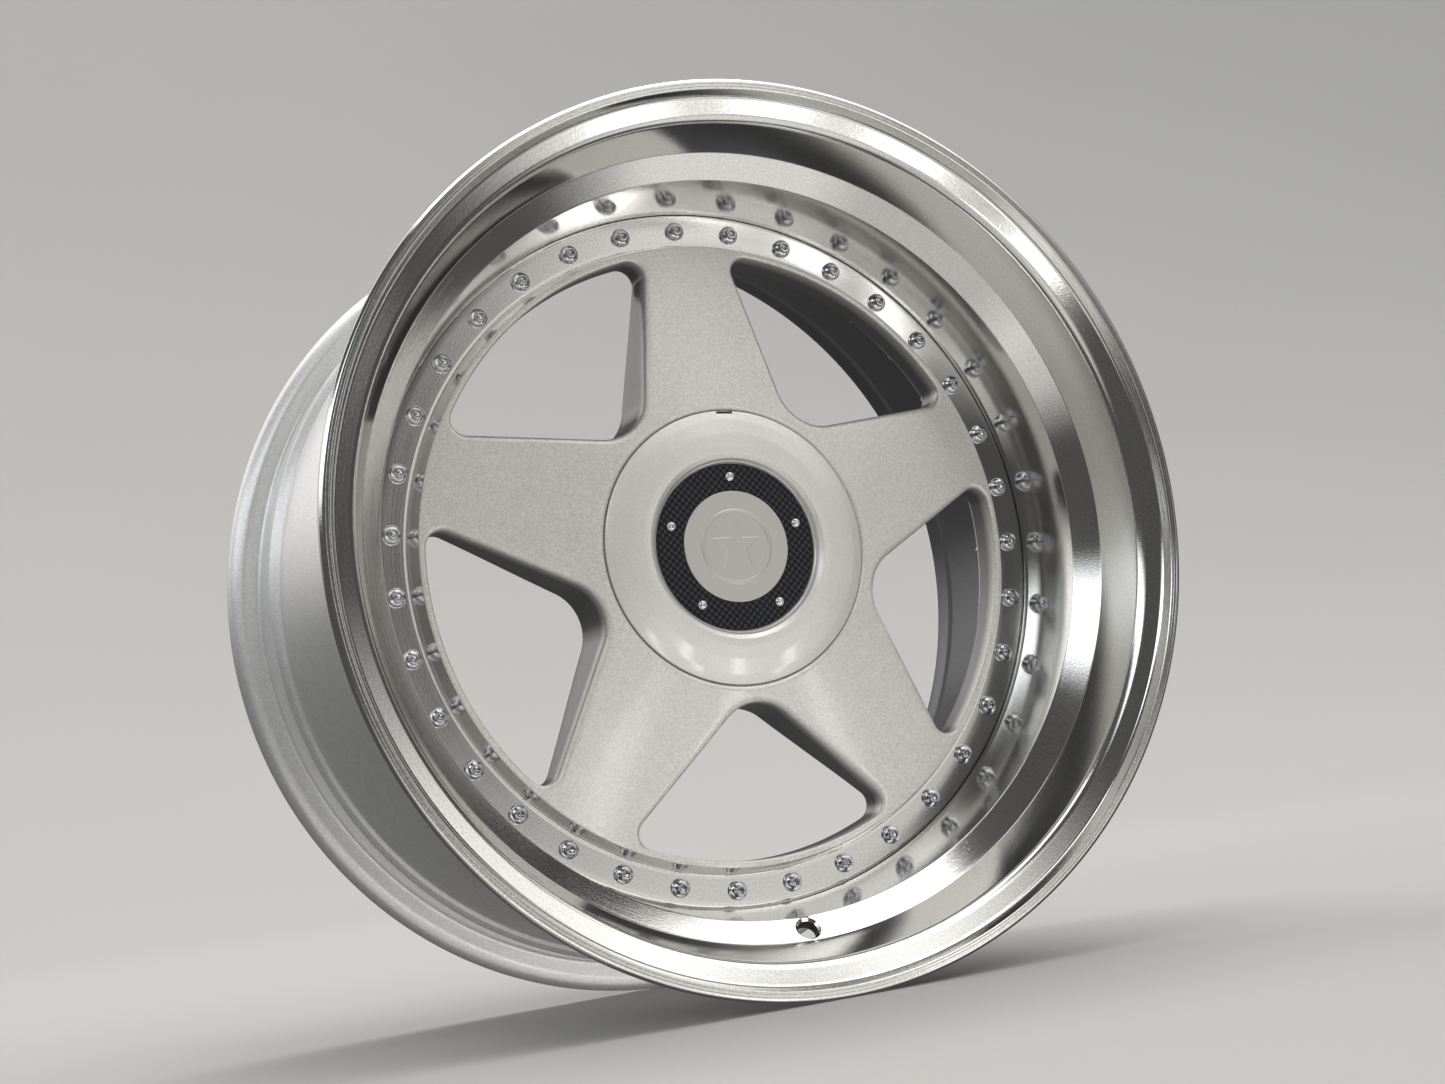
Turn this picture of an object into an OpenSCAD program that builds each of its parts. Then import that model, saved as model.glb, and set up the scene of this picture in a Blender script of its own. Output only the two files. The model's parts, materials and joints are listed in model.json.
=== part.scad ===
// Three-piece forged racing wheel: a polished outer lip, a painted inner barrel and a five-spoke
// forged centre, held together by a circle of through bolts, with a push-fit centre cap.
// Millimetres. Every profile below is a list of [radius, height] points, where height is measured
// outboard from the hub mounting face. outboard() turns that axis to -Y, so the wheel stands
// upright with +Z up and a spoke at the top.

/* [Rim size] */
// Bead seat diameter of an 18 inch rim
bead_seat_d = 462; // [460:0.5:464]
// Width between the two bead faces, 9.5 inch
rim_width = 241.3; // [230:0.1:254]
// Flange height above the bead seat, J contour
flange_height = 17.5; // [17:0.1:18]
// Rim centre plane inboard of the hub mounting face
wheel_offset = 20; // [15:0.5:25]

/* [Outer lip] */
// Height of the bolt band's front face above the hub mounting face
band_height = 20; // [19:0.5:22]
// Radius of the lip's wall where the centre drops in
register_r = 200.6; // [200.5:0.05:201]
// Radius of the lip's wall at the foot of the step
step_foot_r = 206.4; // [206:0.1:207]
// Radius of the lip's wall at the top of the step
step_top_r = 219.1; // [218.5:0.1:219.5]
// Thickness of the mounting flanges of lip and barrel
joint_flange_t = 6; // [5:0.5:6]
// Diameter of the valve hole
valve_hole_d = 11.5; // [11.3:0.1:12.5]
// Width of the chamfer round the valve hole's mouth
valve_chamfer = 1.5; // [1:0.1:2.2]

/* [Forged centre] */
// Number of spokes, with one at the top
spoke_count = 5; // [5:1:5]
// Half the width of a spoke's end at the rim
spoke_end_half_w = 26; // [24:0.5:28]
// How much a spoke's side leans out towards the hub, in degrees
spoke_lean = 10.85; // [10:0.05:12]
// Radius of the windows' outer edge
window_r = 174; // [173:0.5:174.5]
// Corner radius at the windows' two outer corners
window_corner_r = 9; // [7:0.5:11]
// Corner radius at the windows' inner corner
window_apex_r = 26; // [22:1:28]
// Radius of the painted face's outer edge
face_edge_r = 177.7; // [177:0.1:178]
// Height of the painted face at its outer edge, above the bolt band
face_edge_rise = 11.2; // [10:0.1:12]
// Height of the painted face at the cap pocket, above the bolt band
face_hub_rise = 26.3; // [25:0.1:27]
// Width of the soft rounding where the face falls into the cap pocket
mouth_round = 3; // [0.8:0.1:4]
// Thickness of the centre at the bolt band
band_t = 10; // [9:0.5:11]

/* [Hub interface] */
// Pitch circle diameter of the lug holes
lug_pcd = 120; // [112:0.1:120]
// Number of lug holes
lug_count = 5; // [4:1:5]
// Diameter of the lug holes
lug_hole_d = 14.5; // [14:0.1:15]
// Bore of the centring ring, which seats on the vehicle's hub
hub_bore_d = 72.6; // [66:0.1:73]
// Thickness of the hub plate at the lug holes
hub_plate_t = 15; // [14:0.5:16]

/* [Assembly bolts] */
// Number of assembly bolts
bolt_count = 35; // [30:5:40]
// Radius of the assembly bolts' circle
bolt_circle_r = 190; // [189.5:0.1:190.5]
// Thread diameter of an assembly bolt
bolt_d = 7; // [6:0.5:7]

/* [Centre cap] */
// Diameter of the cap cover
cap_d = 155.4; // [154:0.1:155.6]
// Height of the cover's highest ring above the hub mounting face
cap_crest_height = 50.3; // [50:0.1:51]
// Clockwise angle by which the cap is clipped in
cap_turn = 2.9; // [0:0.1:6]
// Outer radius of the carbon trim ring
trim_outer_r = 47.4; // [47:0.1:47.6]
// Radius of the badge disc
badge_r = 31.5; // [31:0.1:31.6]
// Radius of the circle of trim screws
trim_screw_circle_r = 39.8; // [39.5:0.1:40.2]

/* [Hidden] */
$fn = 180;

bead_r = bead_seat_d / 2;
flange_r = bead_r + flange_height;
front_bead_h = rim_width / 2 - wheel_offset;
rear_bead_h = -rim_width / 2 - wheel_offset;

// Seams between the centre, the lip and the barrel
lip_seat_h = band_height - band_t;
joint_h = lip_seat_h - joint_flange_t;
nut_seat_h = joint_h - joint_flange_t;
joint_bore_r = bolt_circle_r - 9;
joint_outer_r = 206.8;
bolt_hole_r = bolt_d / 2 + 0.15;

// J contour of both flanges: the bead side curls out on flange_curl_r
flange_curl_r = 9.5;
flange_curl_steps = 6;
bead_seat_w = 21;
bead_seat_drop = bead_seat_w * tan(5);
hump_h = 1.2;

// The step band's slope, which the valve hole is square to
step_foot_h = band_height + 45;
step_top_h = band_height + 55.4;
step_slope = atan2(step_top_h - step_foot_h, step_top_r - step_foot_r);
valve_r = (step_foot_r + step_top_r) / 2;
valve_h = (step_foot_h + step_top_h) / 2;

// Window outline: two straight sides that meet at apex_r, an arc, and three round corners
window_half_angle = 180 / spoke_count;
window_gather = window_half_angle + spoke_lean;
side_ref_r = 167;
apex_r = (spoke_end_half_w + side_ref_r * tan(spoke_lean)) * cos(spoke_lean) / sin(window_gather);
apex_centre = apex_r + window_apex_r / sin(window_gather);
corner_orbit = window_r - window_corner_r;
corner_swing = window_gather - asin((window_corner_r + apex_r * sin(window_gather)) / corner_orbit);

// Cap pocket in the centre
pocket_mouth_r = cap_d / 2 + 0.6;
pocket_r = 76.5;
pocket_ledge_h = band_height + 22.5;
centre_bore_r = hub_bore_d / 2 + 3.2;
ring_shoulder_r = centre_bore_r + 2;
ring_shoulder_t = 1.5;
ring_h = 12;
clip_wire_r = 0.75;
insert_r = 12;
insert_foot_h = 4;
seat_mouth_r = 11;

// Rear of the spokes
spoke_rear_hub_h = 2;
spoke_rear_rim_h = lip_seat_h;
rear_pocket_depth = 13;

// Cap stack, from the seal up
seal_t = 0.5;
cover_t = 2.8;
cover_edge_h = pocket_ledge_h + seal_t;
recess_floor_h = 44.5;
recess_floor_t = 2.5;
trim_t = 1.2;
pad_t = 0.5;
badge_t = 1.3;
emblem_t = 0.35;
screw_r = 1.5;
screw_hole_r = 1.6;
screw_head_r = 2.75;
screw_head_t = 1.6;
screw_tip_h = 34;
plate_top_h = recess_floor_h - recess_floor_t;
plate_t = 2.5;
boss_r = 4.2;
boss_foot_h = 33;
insert_brass_r = 2.4;
insert_brass_t = 5.5;
clip_leg_r = 75.8;
clip_leg_t = 2.5;
clip_barb_r = 76.35;
clip_foot_h = 24;
spring_wire_r = 1.2;
spring_h = 30;

lip_colour = [0.80, 0.80, 0.79];
paint_colour = [0.73, 0.73, 0.70];
barrel_colour = [0.66, 0.67, 0.69];
steel_colour = [0.75, 0.76, 0.78];
brass_colour = [0.78, 0.62, 0.30];
rubber_colour = [0.07, 0.07, 0.07];
nylon_colour = [0.12, 0.12, 0.13];
carbon_colour = [0.10, 0.11, 0.13];
badge_colour = [0.70, 0.70, 0.67];

// Turns the outboard axis to -Y and the drawing's y to +Z
module outboard() {
    rotate([90, 0, 0]) children();
}

// A body of revolution from [radius, height] points
module turned(points) {
    outboard() rotate_extrude() polygon(points);
}

// Copies the children round the wheel's axis, the first at the top
module ring_of(count, radius, turn = 0) {
    outboard()
        for (i = [0 : count - 1])
            rotate([0, 0, 90 + turn + i * 360 / count]) translate([radius, 0, 0]) children();
}

// A plain hole or rod along the outboard axis, between two heights
module rod(r, from_h, to_h) {
    translate([0, 0, from_h]) cylinder(r = r, h = to_h - from_h);
}

// Points of a quarter curl from the bead face to the flange's tip
function flange_curl(bead_h, side) = [
    for (i = [0 : flange_curl_steps])
        let (a = 90 * i / flange_curl_steps)
            [flange_r - flange_curl_r + flange_curl_r * sin(a),
             bead_h + side * (flange_curl_r - flange_curl_r * cos(a))]
];

// Bead seat and hump, from the bead face to the hump's far foot
function bead_seat(bead_h, side) = [
    [bead_r - bead_seat_drop - 1.6, bead_h - side * (bead_seat_w + 7)],
    [bead_r - bead_seat_drop + hump_h - 0.7, bead_h - side * (bead_seat_w + 5)],
    [bead_r - bead_seat_drop + hump_h, bead_h - side * (bead_seat_w + 3)],
    [bead_r - bead_seat_drop, bead_h - side * bead_seat_w],
    [bead_r, bead_h]
];

// Polished lip: mounting flange, straight wall, step, flared wall and rolled flange
module outer_lip() {
    tip_h = front_bead_h + flange_curl_r;
    color(lip_colour)
        difference() {
            turned(concat(
                [[joint_bore_r, joint_h],
                 [joint_outer_r - 2.5, joint_h],
                 [joint_outer_r, joint_h + 2.5],
                 [joint_outer_r, band_height + 4],
                 [step_foot_r + 5.6, step_foot_h - 3.5]],
                bead_seat(front_bead_h, 1),
                flange_curl(front_bead_h, 1),
                [[flange_r - 0.6, tip_h + 1.8],
                 [flange_r - 2, tip_h + 2.9],
                 [flange_r - 4.5, tip_h + 2.3],
                 [flange_r - 6.2, tip_h + 0.2],
                 [flange_r - 9, tip_h - 3.3],
                 [flange_r - 16.5, tip_h - 5.9],
                 [flange_r - 19.5, tip_h - 8.6],
                 [flange_r - 21.6, tip_h - 13.4],
                 [step_top_r, step_top_h],
                 [step_foot_r, step_foot_h],
                 [register_r, band_height],
                 [register_r, lip_seat_h],
                 [joint_bore_r, lip_seat_h]]));
            ring_of(bolt_count, bolt_circle_r) rod(bolt_hole_r, joint_h - 1, lip_seat_h + 1);
            valve_hole();
        }
}

// The valve hole at the bottom, square to the step band, with its chamfer
module valve_hole() {
    outboard()
        translate([0, -valve_r, valve_h])
            rotate([-step_slope, 0, 0]) {
                translate([0, 0, -20]) cylinder(d = valve_hole_d, h = 40);
                translate([0, 0, -valve_chamfer])
                    cylinder(r1 = valve_hole_d / 2, r2 = valve_hole_d / 2 + 2 * valve_chamfer,
                             h = 2 * valve_chamfer);
            }
}

// Painted barrel: mounting flange, drop centre, tapered wall, rear bead seat and rolled flange
module inner_barrel() {
    tip_h = rear_bead_h - flange_curl_r;
    color(barrel_colour)
        difference() {
            turned(concat(
                [[joint_bore_r, nut_seat_h],
                 [197.5, nut_seat_h],
                 [200.4, nut_seat_h - 1.2],
                 [201.6, nut_seat_h - 4],
                 [202, -22],
                 [208, -42],
                 [219.4, -108],
                 [224.2, -122],
                 [225.4, rear_bead_h + 3],
                 [226.8, rear_bead_h - 2],
                 [230, rear_bead_h - 4.6],
                 [flange_r - 10, tip_h + 2.2],
                 [flange_r - 6.4, tip_h - 1],
                 [flange_r - 4.5, tip_h - 2.6],
                 [flange_r - 2, tip_h - 3],
                 [flange_r - 0.6, tip_h - 1.8]],
                [for (i = [flange_curl_steps : -1 : 0]) flange_curl(rear_bead_h, -1)[i]],
                [for (i = [4 : -1 : 0]) bead_seat(rear_bead_h, -1)[i]],
                [[224.6, -110],
                 [213, -42],
                 [joint_outer_r, -24],
                 [joint_outer_r, joint_h - 2.5],
                 [joint_outer_r - 2.5, joint_h],
                 [joint_bore_r, joint_h]]));
            ring_of(bolt_count, bolt_circle_r) rod(bolt_hole_r, nut_seat_h - 1, joint_h + 1);
        }
}

// Silicone bead in the vee between lip and barrel
module rim_sealant() {
    color(rubber_colour)
        turned([[joint_outer_r - 2.4, joint_h],
                [joint_outer_r, joint_h - 2.4],
                [joint_outer_r + 0.5, joint_h - 1.4],
                [joint_outer_r + 0.5, joint_h + 1.4],
                [joint_outer_r, joint_h + 2.4]]);
}

// One window: straight sides, outer arc and round corners, drawn along +x
module window_outline() {
    side_cut = window_r + 20;
    corner_x = corner_orbit * cos(corner_swing);
    corner_y = corner_orbit * sin(corner_swing);
    side_x = corner_x - window_corner_r * sin(window_gather);
    side_y = corner_y + window_corner_r * cos(window_gather);
    tip_x = apex_centre - window_apex_r * sin(window_gather);
    tip_y = window_apex_r * cos(window_gather);
    arc_x = window_r * cos(corner_swing);
    arc_y = window_r * sin(corner_swing);
    polygon([[tip_x, -tip_y], [side_x, -side_y], [corner_x, -corner_y],
             [corner_x, corner_y], [side_x, side_y], [tip_x, tip_y]]);
    intersection() {
        circle(r = window_r);
        polygon([[0, 0], [side_cut * cos(corner_swing), -side_cut * sin(corner_swing)],
                 [side_cut, 0], [side_cut * cos(corner_swing), side_cut * sin(corner_swing)]]);
        translate([corner_x - window_corner_r, -window_r])
            square([window_r, 2 * window_r]);
    }
    translate([apex_centre, 0]) circle(r = window_apex_r);
    for (s = [-1, 1])
        translate([corner_x, s * corner_y]) circle(r = window_corner_r);
}

// Forged five-spoke centre with its machined bolt band
module spoke_centre() {
    face_edge_h = band_height + face_edge_rise;
    face_hub_h = band_height + face_hub_rise;
    color(paint_colour)
        difference() {
            turned([[centre_bore_r, 0],
                    [79, 0],
                    [82, spoke_rear_hub_h],
                    [window_r - 4, spoke_rear_rim_h],
                    [register_r - 0.3, spoke_rear_rim_h],
                    [register_r - 0.3, band_height - 1.5],
                    [register_r - 2.4, band_height],
                    [183.8, band_height],
                    [182, band_height + 0.8],
                    [181, band_height + 2.6],
                    [face_edge_r, face_edge_h],
                    [pocket_mouth_r + mouth_round, face_hub_h],
                    [pocket_mouth_r + 0.4 * mouth_round, face_hub_h - 0.12 * mouth_round],
                    [pocket_mouth_r + 0.1 * mouth_round, face_hub_h - 0.3 * mouth_round],
                    [pocket_mouth_r, face_hub_h - 0.6 * mouth_round],
                    [pocket_mouth_r, pocket_ledge_h],
                    [pocket_r, pocket_ledge_h],
                    [pocket_r, hub_plate_t],
                    [centre_bore_r, hub_plate_t]]);
            outboard()
                for (i = [0 : spoke_count - 1])
                    rotate([0, 0, 90 + (i + 0.5) * 360 / spoke_count])
                        translate([0, 0, -5]) linear_extrude(60) window_outline();
            rear_pockets();
            ring_of(bolt_count, bolt_circle_r) rod(bolt_hole_r, lip_seat_h - 1, band_height + 1);
            ring_of(lug_count, lug_pcd / 2) {
                rod(lug_hole_d / 2, -1, hub_plate_t + 1);
                rod(insert_r, insert_foot_h, hub_plate_t + 1);
            }
            outboard() {
                rod(ring_shoulder_r, -1, ring_shoulder_t);
                rod(centre_bore_r + 1.2, ring_h + 0.2, ring_h + 1.8);
            }
        }
}

// Lightening pockets in the back of the spokes
module rear_pockets() {
    inner_half_w = 27;
    outer_half_w = 18;
    inner_r = 96;
    outer_r = 160;
    outboard()
        for (i = [0 : spoke_count - 1])
            rotate([0, 0, 90 + i * 360 / spoke_count])
                translate([0, 0, -5])
                    linear_extrude(rear_pocket_depth + 10)
                        polygon([[inner_r, -inner_half_w + 6], [inner_r + 6, -inner_half_w],
                                 [outer_r - 6, -outer_half_w], [outer_r, -outer_half_w + 6],
                                 [outer_r, outer_half_w - 6], [outer_r - 6, outer_half_w],
                                 [inner_r + 6, inner_half_w], [inner_r, inner_half_w - 6]]);
}

// Steel seats for the lug bolts, pressed into the hub plate
module lug_seat_inserts() {
    seat_foot_h = hub_plate_t - (seat_mouth_r - lug_hole_d / 2) / tan(30);
    color(steel_colour)
        ring_of(lug_count, lug_pcd / 2)
            rotate_extrude()
                polygon([[lug_hole_d / 2, insert_foot_h], [insert_r, insert_foot_h],
                         [insert_r, hub_plate_t], [seat_mouth_r, hub_plate_t],
                         [lug_hole_d / 2, seat_foot_h]]);
}

// Ring that fills the wheel's bore down to the vehicle's hub
module centring_ring() {
    color(nylon_colour)
        turned([[hub_bore_d / 2, 0],
                [ring_shoulder_r - 0.05, 0],
                [ring_shoulder_r - 0.05, ring_shoulder_t],
                [centre_bore_r - 0.05, ring_shoulder_t],
                [centre_bore_r - 0.05, ring_h],
                [hub_bore_d / 2, ring_h]]);
}

// Open wire clip that holds the centring ring in its bore
module centring_ring_clip() {
    clip_gap = 14;
    color(steel_colour)
        outboard()
            translate([0, 0, ring_h + 1])
                rotate([0, 0, -90 + clip_gap / 2])
                    rotate_extrude(angle = 360 - clip_gap)
                        translate([centre_bore_r + 0.3, 0]) circle(r = clip_wire_r, $fn = 24);
}

// Chromed assembly bolts: flanged dome, raised collar, hexagon socket and shank
module assembly_bolts() {
    flange_rad = 5.4;
    collar_r = 2.9;
    tip_h = nut_seat_h - 10;
    color(steel_colour)
        ring_of(bolt_count, bolt_circle_r)
            difference() {
                rotate_extrude()
                    polygon([[0, tip_h], [bolt_d / 2 - 0.6, tip_h],
                             [bolt_d / 2, tip_h + 0.6], [bolt_d / 2, band_height],
                             [flange_rad, band_height], [flange_rad, band_height + 0.8],
                             [flange_rad - 0.6, band_height + 1.9],
                             [collar_r + 0.5, band_height + 3.1],
                             [collar_r, band_height + 3.7], [collar_r, band_height + 5],
                             [collar_r - 0.5, band_height + 5.5], [0, band_height + 5.5]]);
                translate([0, 0, band_height + 3.5]) cylinder(r = 1.75, h = 3, $fn = 6);
            }
}

// Plain washers under the nuts
module bolt_washers() {
    color(steel_colour)
        ring_of(bolt_count, bolt_circle_r)
            difference() {
                rod(6.6, nut_seat_h - 1, nut_seat_h);
                rod(bolt_d / 2 + 0.2, nut_seat_h - 2, nut_seat_h + 1);
            }
}

// Flanged hexagon nuts behind the barrel's flange
module bolt_nuts() {
    seat_h = nut_seat_h - 1;
    color(steel_colour)
        ring_of(bolt_count, bolt_circle_r)
            difference() {
                union() {
                    translate([0, 0, seat_h - 7]) cylinder(d = 11.5, h = 7, $fn = 6);
                    rod(6.2, seat_h - 1.4, seat_h);
                }
                rod(bolt_d / 2 + 0.05, seat_h - 8, seat_h + 1);
            }
}

// Painted cover: crowned ring that drops into a round recess for the trim and badge
module cap_cover() {
    cap_r = cap_d / 2;
    recess_r = 47.9;
    notch_w = 10;
    notch_depth = 1.8;
    color(paint_colour)
        outboard()
            rotate([0, 0, -cap_turn])
                difference() {
                    rotate_extrude()
                        polygon([[0, plate_top_h], [49, plate_top_h],
                                 [54, cap_crest_height - cover_t - 0.6],
                                 [60, cap_crest_height - cover_t - 1],
                                 [72, cover_edge_h + 1.2], [73.5, cover_edge_h],
                                 [cap_r, cover_edge_h], [cap_r, cover_edge_h + 2.4],
                                 [cap_r - 0.8, cover_edge_h + 3.3],
                                 [72, cover_edge_h + 4.6], [64, cap_crest_height - 1.1],
                                 [57, cap_crest_height - 0.2], [53.2, cap_crest_height],
                                 [51, cap_crest_height - 0.7], [49.2, cap_crest_height - 2.2],
                                 [recess_r, recess_floor_h + trim_t + 0.4],
                                 [recess_r, recess_floor_h], [0, recess_floor_h]]);
                    translate([-notch_w / 2, cap_r - notch_depth, cover_edge_h - 1])
                        cube([notch_w, 2 * notch_depth, 8]);
                    trim_screw_places() rod(screw_hole_r, plate_top_h - 1, recess_floor_h + 1);
                }
}

// Repeats the children at the trim screws' places, in the cap's own drawing plane
module trim_screw_places() {
    for (i = [0 : 4])
        rotate([0, 0, 90 + i * 72]) translate([trim_screw_circle_r, 0, 0]) children();
}

// Flat rubber seal between the cover's edge and the pocket's ledge
module cap_seal() {
    color(rubber_colour)
        turned([[pocket_r + 0.1, pocket_ledge_h], [cap_d / 2 - 0.1, pocket_ledge_h],
                [cap_d / 2 - 0.1, cover_edge_h], [pocket_r + 0.1, cover_edge_h]]);
}

// Nylon retainer: plate with screw bosses and ten clip legs
module cap_retainer() {
    leg_count = 10;
    leg_gap = 14;
    color(nylon_colour)
        outboard()
            rotate([0, 0, -cap_turn])
                difference() {
                    union() {
                        rotate_extrude()
                            polygon([[33, plate_top_h - plate_t],
                                     [clip_leg_r - clip_leg_t, plate_top_h - plate_t],
                                     [clip_leg_r - clip_leg_t, clip_foot_h],
                                     [clip_leg_r - 0.8, clip_foot_h],
                                     [clip_barb_r, clip_foot_h + 3],
                                     [clip_barb_r, clip_foot_h + 4],
                                     [clip_leg_r, clip_foot_h + 5.5],
                                     [clip_leg_r, plate_top_h], [33, plate_top_h]]);
                        trim_screw_places() rod(boss_r, boss_foot_h, plate_top_h - 1);
                    }
                    for (i = [0 : leg_count - 1])
                        rotate([0, 0, (i + 0.5) * 360 / leg_count])
                            translate([60, -leg_gap / 2, clip_foot_h - 1])
                                cube([30, leg_gap, plate_top_h - plate_t - clip_foot_h - 2]);
                    trim_screw_places() {
                        rod(screw_hole_r, boss_foot_h - 1, plate_top_h + 1);
                        rod(insert_brass_r, boss_foot_h - 1, boss_foot_h + insert_brass_t);
                    }
                }
}

// Open spring wire that presses the clip legs outwards
module cap_spring_ring() {
    spring_gap = 10;
    color(steel_colour)
        outboard()
            translate([0, 0, spring_h])
                rotate([0, 0, 270 + spring_gap / 2 - cap_turn])
                    rotate_extrude(angle = 360 - spring_gap)
                        translate([clip_leg_r - clip_leg_t - spring_wire_r - 0.05, 0])
                            circle(r = spring_wire_r, $fn = 24);
}

// Flat carbon fibre ring under the trim screws
module carbon_trim_ring() {
    color(carbon_colour)
        outboard()
            rotate([0, 0, -cap_turn])
                difference() {
                    rod(trim_outer_r, recess_floor_h, recess_floor_h + trim_t);
                    rod(badge_r + 0.2, recess_floor_h - 1, recess_floor_h + trim_t + 1);
                    trim_screw_places()
                        rod(screw_hole_r, recess_floor_h - 1, recess_floor_h + trim_t + 1);
                }
}

// Adhesive foam pad behind the badge
module badge_pad() {
    color(rubber_colour)
        outboard() rod(badge_r - 1, recess_floor_h, recess_floor_h + pad_t);
}

// Satin badge disc with a raised five-ray star inside a ring
module badge_disc() {
    badge_foot_h = recess_floor_h + pad_t;
    badge_top_h = badge_foot_h + badge_t;
    star_r = 15;
    star_waist_r = 6.2;
    color(badge_colour)
        outboard()
            rotate([0, 0, -cap_turn]) {
                rotate_extrude()
                    polygon([[0, badge_foot_h], [badge_r, badge_foot_h],
                             [badge_r, badge_top_h - 0.3], [badge_r - 0.3, badge_top_h],
                             [0, badge_top_h]]);
                translate([0, 0, badge_top_h - 0.2])
                    linear_extrude(emblem_t + 0.2) {
                        difference() {
                            circle(r = 21);
                            circle(r = 19.4);
                        }
                        polygon([for (i = [0 : 9])
                                     let (a = 90 + i * 36, r = i % 2 == 0 ? star_r : star_waist_r)
                                         [r * cos(a), r * sin(a)]]);
                    }
            }
}

// Button-head screws through the trim ring, cover and retainer
module trim_screws() {
    head_h = recess_floor_h + trim_t;
    color(steel_colour)
        outboard()
            rotate([0, 0, -cap_turn])
                trim_screw_places()
                    difference() {
                        rotate_extrude()
                            polygon([[0, screw_tip_h], [screw_r, screw_tip_h],
                                     [screw_r, head_h], [screw_head_r, head_h],
                                     [screw_head_r, head_h + 0.4],
                                     [screw_head_r - 0.5, head_h + 1.2],
                                     [screw_head_r - 1.1, head_h + screw_head_t],
                                     [0, head_h + screw_head_t]]);
                        translate([0, 0, head_h + 0.5]) cylinder(r = 1.15, h = 3, $fn = 6);
                    }
}

// Brass thread inserts in the retainer's bosses
module screw_inserts() {
    color(brass_colour)
        outboard()
            rotate([0, 0, -cap_turn])
                trim_screw_places()
                    difference() {
                        rod(insert_brass_r, boss_foot_h, boss_foot_h + insert_brass_t);
                        rod(screw_r + 0.03, boss_foot_h - 1, boss_foot_h + insert_brass_t + 1);
                    }
}

outer_lip();
inner_barrel();
rim_sealant();
spoke_centre();
lug_seat_inserts();
centring_ring();
centring_ring_clip();
assembly_bolts();
bolt_washers();
bolt_nuts();
cap_cover();
cap_seal();
cap_retainer();
cap_spring_ring();
carbon_trim_ring();
badge_pad();
badge_disc();
trim_screws();
screw_inserts();
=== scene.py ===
"""Looks of a three-piece racing wheel rim, built round its CAD frame.

The wheel's axis is Y and its visible face looks along -Y. Heights are measured outboard from the
hub mounting face, so a point at radius r, height h and angle a lies at x = r cos a, y = -h,
z = r sin a. Profiles are written in millimetres and turned into metres once, in place().
"""

import json
import math

import bmesh
import bpy
import numpy as np
from mathutils import Matrix, Vector


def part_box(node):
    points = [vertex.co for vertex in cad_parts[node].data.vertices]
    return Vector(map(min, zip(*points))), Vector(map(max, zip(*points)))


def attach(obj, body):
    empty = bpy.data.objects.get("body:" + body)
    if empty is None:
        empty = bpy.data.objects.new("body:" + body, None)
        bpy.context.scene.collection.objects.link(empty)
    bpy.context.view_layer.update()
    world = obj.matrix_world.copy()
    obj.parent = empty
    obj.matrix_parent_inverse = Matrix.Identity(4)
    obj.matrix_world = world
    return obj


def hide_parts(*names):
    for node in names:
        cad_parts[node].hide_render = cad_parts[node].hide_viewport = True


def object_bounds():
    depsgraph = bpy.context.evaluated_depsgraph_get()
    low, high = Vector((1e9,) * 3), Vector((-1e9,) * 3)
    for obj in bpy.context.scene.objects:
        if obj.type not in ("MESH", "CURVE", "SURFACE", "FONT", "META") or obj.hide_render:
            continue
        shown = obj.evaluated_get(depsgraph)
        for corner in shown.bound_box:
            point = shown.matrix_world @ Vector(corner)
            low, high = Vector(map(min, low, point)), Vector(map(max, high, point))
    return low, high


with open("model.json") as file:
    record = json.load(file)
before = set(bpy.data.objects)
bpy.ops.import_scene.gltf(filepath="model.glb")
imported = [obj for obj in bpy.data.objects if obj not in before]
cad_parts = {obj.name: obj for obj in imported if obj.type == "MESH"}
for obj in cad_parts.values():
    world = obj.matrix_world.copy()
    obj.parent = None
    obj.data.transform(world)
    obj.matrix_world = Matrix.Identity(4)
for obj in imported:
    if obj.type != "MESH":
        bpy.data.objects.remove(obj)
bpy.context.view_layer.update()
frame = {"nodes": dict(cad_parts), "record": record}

MM = 0.001
record = frame["record"]
mounts = {m["name"]: m for m in record["mounts"]}

# -------- driving dimensions, millimetres
flange_r = round(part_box("outer_lip")[1].x / MM * 2) / 2  # over the flanges, to half a millimetre
front_h = -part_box("outer_lip")[0].y / MM  # foremost point of the lip
rear_h = -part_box("inner_barrel")[1].y / MM  # rearmost point of the barrel
bead_h = -mounts["front_bead_seat"]["pos_m"][1] / MM  # bead faces of the two flanges
rear_bead_h = -mounts["rear_bead_seat"]["pos_m"][1] / MM
lug_orbit = mounts["lug_holes"]["dims"]["pcd_mm"] / 2
lug_r = mounts["lug_holes"]["dims"]["hole_r_mm"]
valve_r = mounts["valve_hole"]["dims"]["r_mm"]
SPOKES = 5
BOLTS = 35
CAP_SCREWS = 5
AROUND = 360  # steps of a turned surface
WELD = 2e-6  # points closer than this are one, metres
band_h = 20.0  # face of the bolt band
bolt_orbit = 190.0
register_r = 200.6  # bore of the lip where the centre sits
band_t = 10.0
joint_t = 6.0  # each mounting flange
cap_turn = math.radians(2.9)  # the cap is clipped in slightly turned
cap_r = 77.7


# -------- numpy surfaces
def place(r, h, a):
    """Points on the wheel: radius r and height h in millimetres, at angle a from +X towards +Z."""
    return np.stack([r * np.cos(a) * MM, -h * MM + 0 * a, r * np.sin(a) * MM], -1)


def smooth(t):
    """The S-curve 3t^2 - 2t^3, held at 0 below t = 0 and at 1 above t = 1."""
    t = np.clip(t, 0, 1)
    return t * t * (3 - 2 * t)


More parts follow.
